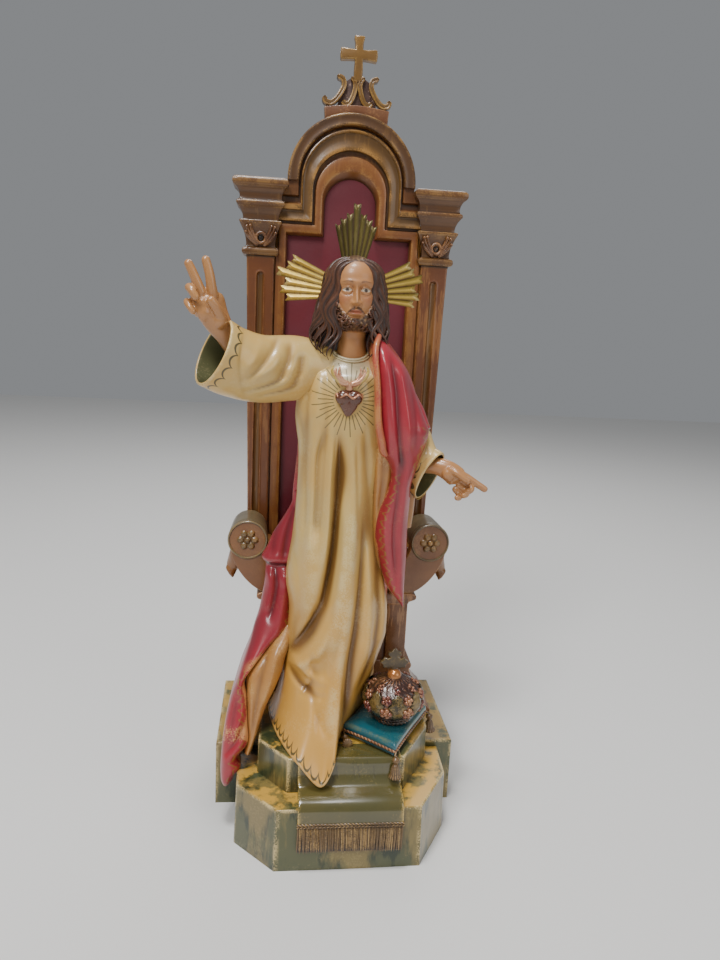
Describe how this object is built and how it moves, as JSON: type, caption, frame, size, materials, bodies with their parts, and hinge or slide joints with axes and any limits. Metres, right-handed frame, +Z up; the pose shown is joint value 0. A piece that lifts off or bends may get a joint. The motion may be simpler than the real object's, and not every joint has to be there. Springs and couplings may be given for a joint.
{
  "type": "christ the king statue",
  "caption": "Painted wooden statue: a robed, cloaked figure blessing before a high-backed throne on a stepped base, with ray clusters, a cushion and a crown.",
  "frame": {"origin": "on the underside, in the throne's middle plane, below the seat's front", "axes": "+Z up; -Y is the side the figure faces; +X is the viewer's right as one faces the figure"},
  "size_m": [0.2895, 0.2492, 0.8],
  "materials": {
    "marbled_wood": "glossy varnish over olive marbling",
    "throne_wood": "semi-gloss brown with worn gold",
    "panel_red": "satin dark red paint",
    "crest_gilt": "dull gilding with dark recesses",
    "figure_paint": "glossy varnished paint",
    "cushion_paint": "glossy teal paint",
    "crown_paint": "glossy dark bronze paint",
    "ray_brass": "polished, slightly tarnished"
  },
  "bodies": {
    "root": {"throne_slab": "marbled_wood", "stepped_pedestal": "marbled_wood", "throne_seat_box": "throne_wood", "throne_back_frame": "throne_wood", "throne_back_panel": "panel_red", "throne_arm_left": "throne_wood", "throne_arm_right": "throne_wood", "crest": "crest_gilt", "figure": "figure_paint", "cushion": "cushion_paint", "crown": "crown_paint", "rays_top": "ray_brass", "rays_left": "ray_brass", "rays_right": "ray_brass"}
  },
  "joints": []
}
